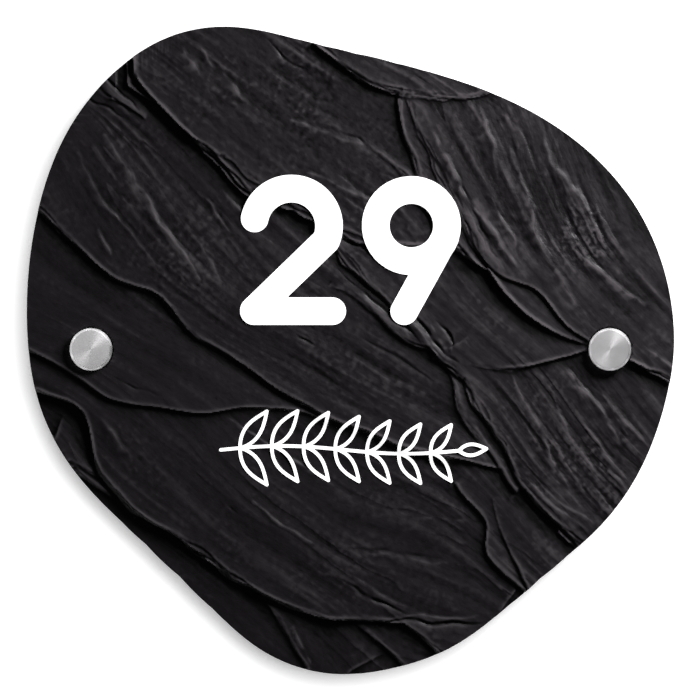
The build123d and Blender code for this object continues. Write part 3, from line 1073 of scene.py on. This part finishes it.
def turned_barrel(side):
    """A barrel with a bore from the front and a countersunk hole for the wall screw."""
    front_y, foot_y = (p.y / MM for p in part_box(side + "_barrel"))
    floor_y = foot_y - BARREL_FLOOR
    profile = rounded([
        (BORE, floor_y), (BORE, front_y), (OUTER - BARREL_BEVEL, front_y), (OUTER, front_y + BARREL_BEVEL),
        (OUTER, foot_y), (FOOT_HOLE, foot_y), (FOOT_HOLE, floor_y + SEAT - FOOT_HOLE), (SEAT, floor_y),
        (BORE, floor_y)], BARREL_EDGE)
    ring = spun(side, profile, CAP_SEGMENTS, closed=True)
    barrel = joined(side + "_turned_barrel", [ring], 24, barrel_steel)
    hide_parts(side + "_barrel")
    return barrel


def soft_washer(side, where):
    """A washer with worn edges, in front of the slab or behind it."""
    low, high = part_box(side + "_" + where + "_washer")
    rim, y0, y1 = (high.x - low.x) / 2 / MM, low.y / MM, high.y / MM
    edge = min(0.12, (y1 - y0) / 4)
    profile = [(WASHER_HOLE, y0), (rim - edge, y0), (rim, y0 + edge), (rim, y1 - edge),
               (rim - edge, y1), (WASHER_HOLE, y1)]
    ring = spun(side, profile, CAP_SEGMENTS, closed=True)
    washer = joined(side + "_soft_" + where + "_washer", [ring], 24, washer_plastic)
    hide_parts(side + "_" + where + "_washer")
    return washer


def wall_screw(side):
    """A countersunk wall screw with a cross recess, a thread and a point."""
    top_y, tip_y = (p.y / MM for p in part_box(side + "_wall_screw"))
    neck_y = top_y + HEAD_RIM + HEAD - CORE
    skirt = spun(side, [(HEAD, top_y), (HEAD, top_y + HEAD_RIM), (CORE, neck_y)], SCREW_SEGMENTS)
    rod = thread(side, neck_y, tip_y, CORE, SHANK, SCREW_PITCH, SCREW_POINT, SCREW_SEGMENTS)
    screw = joined(side + "_threaded_wall_screw", [skirt, cross_recess(side, top_y), rod], 40, zinc)
    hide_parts(side + "_wall_screw")
    return screw


metal = []
for side in ("left", "right"):
    metal += [turned_cap(side), turned_barrel(side)]
    bright += [soft_washer(side, where) for where in ("front", "rear")]
    metal.append(wall_screw(side))

# Stage: a white wall that shows only its front, a pale surround, soft lights and the camera
wall_mesh = bpy.data.meshes.new("wall")
wall_mesh.from_pydata([(-2, 0, -2), (2, 0, -2), (2, 0, 2), (-2, 0, 2)], [], [(0, 1, 2, 3)])
wall = bpy.data.objects.new("wall", wall_mesh)
wall.location.y = 0.4 * MM
wall.visible_shadow = False
bpy.context.scene.collection.objects.link(wall)
wall_paint, wall_shader = material("wall_white", (0.9, 0.9, 0.9), 0.9, {
    "Emission Color": (1, 1, 1, 1), "Emission Strength": 0.38})
facing = node(wall_paint, "ShaderNodeNewGeometry")
clear = node(wall_paint, "ShaderNodeBsdfTransparent")
either = node(wall_paint, "ShaderNodeMixShader", {
    0: facing.outputs["Backfacing"], 1: wall_shader.outputs[0], 2: clear.outputs[0]})
wall_paint.node_tree.links.new(either.outputs[0], wall_paint.node_tree.nodes["Material Output"].inputs[0])
wall_mesh.materials.append(wall_paint)

world = bpy.data.worlds.new("surround")
world.use_nodes = True
bpy.context.scene.world = world
shown_sky = world.node_tree.nodes["Background"]
shown_sky.inputs["Color"].default_value = (0.9, 0.9, 0.9, 1)
dim_sky = node(world, "ShaderNodeBackground", {"Color": (0.9, 0.9, 0.92, 1), "Strength": 0.03})
seen = node(world, "ShaderNodeLightPath")
sky = node(world, "ShaderNodeMixShader", {
    0: seen.outputs["Is Camera Ray"], 1: dim_sky.outputs[0], 2: shown_sky.outputs[0]})
world.node_tree.links.new(sky.outputs[0], world.node_tree.nodes["World Output"].inputs[0])


def area_light(name, place, size, power, target=(0, -0.02, 0), colour=(1, 1, 1)):
    """A soft square light that points at a target and isn't seen itself."""
    data = bpy.data.lights.new(name, "AREA")
    data.size = size
    data.energy = power
    data.color = colour
    lamp = bpy.data.objects.new(name, data)
    lamp.location = place
    lamp.rotation_euler = (Vector(target) - Vector(place)).to_track_quat("-Z", "Y").to_euler()
    lamp.visible_camera = False
    bpy.context.scene.collection.objects.link(lamp)
    return lamp


def around(distance, turn, rise):
    """A point at a distance from the plate: its turn in the wall's plane and rise off it, in degrees."""
    t, r = math.radians(turn), math.radians(rise)
    out = distance * math.cos(r)
    return (out * math.cos(t), -0.02 - distance * math.sin(r), out * math.sin(t))


def lights_only(lamp, name, pieces):
    """Keeps a light to some objects, so that the others aren't washed out by it."""
    chosen = bpy.data.collections.new(name)
    for piece in pieces:
        chosen.objects.link(piece)
    lamp.light_linking.receiver_collection = chosen


key = area_light("key", around(0.40, 44, 25), 0.16, 2.2, colour=(1.0, 0.97, 1.0))
lights_only(key, "lit_by_the_key", [slab, wall] + bright)
front = area_light("front", around(1.5, 48, 82), 0.40, 30.0)
lights_only(front, "lit_from_the_front", bright)
wash = area_light("wash", around(1.5, 46, 81), 0.60, 24.0)
lights_only(wash, "washed", [wall])
for name, place, size, power in (
        ("face", around(0.8, 110, 74), 0.9, 1.9), ("glint", around(3.0, 54, 52), 1.2, 21.0)):
    lights_only(area_light(name + "_on_metal", place, size, power), name + "_lit_metal", metal)
RIM_POWERS = (1.3, 1.9, 1.5, 1.2, 1.1, 1.0, 0.7, 0.5)
for k, power in enumerate(RIM_POWERS):
    turn = 40 + 45 * k
    rim = area_light("rim_%d_on_metal" % turn, around(0.6, turn, 12), 0.55, power)
    lights_only(rim, "rim_%d_lit_metal" % turn, metal)
area_light("back", (-0.5, 0.9, 0.5), 0.5, 6.0, target=(0, 0, 0))

CAMERA_DISTANCE = 2.0
FRAME_WIDTH = 0.2166 * 200.0 / 200.5
SENSOR = 36
camera_data = bpy.data.cameras.new("camera")
camera_data.sensor_width = SENSOR
camera_data.lens = SENSOR * CAMERA_DISTANCE / FRAME_WIDTH
camera = bpy.data.objects.new("camera", camera_data)
camera.location = (-0.13 * MM, base_front_y - CAMERA_DISTANCE, -0.19 * MM)
camera.rotation_euler = (math.pi / 2, 0, 0)
bpy.context.scene.collection.objects.link(camera)
bpy.context.scene.camera = camera
bpy.context.scene.view_settings.view_transform = "Standard"
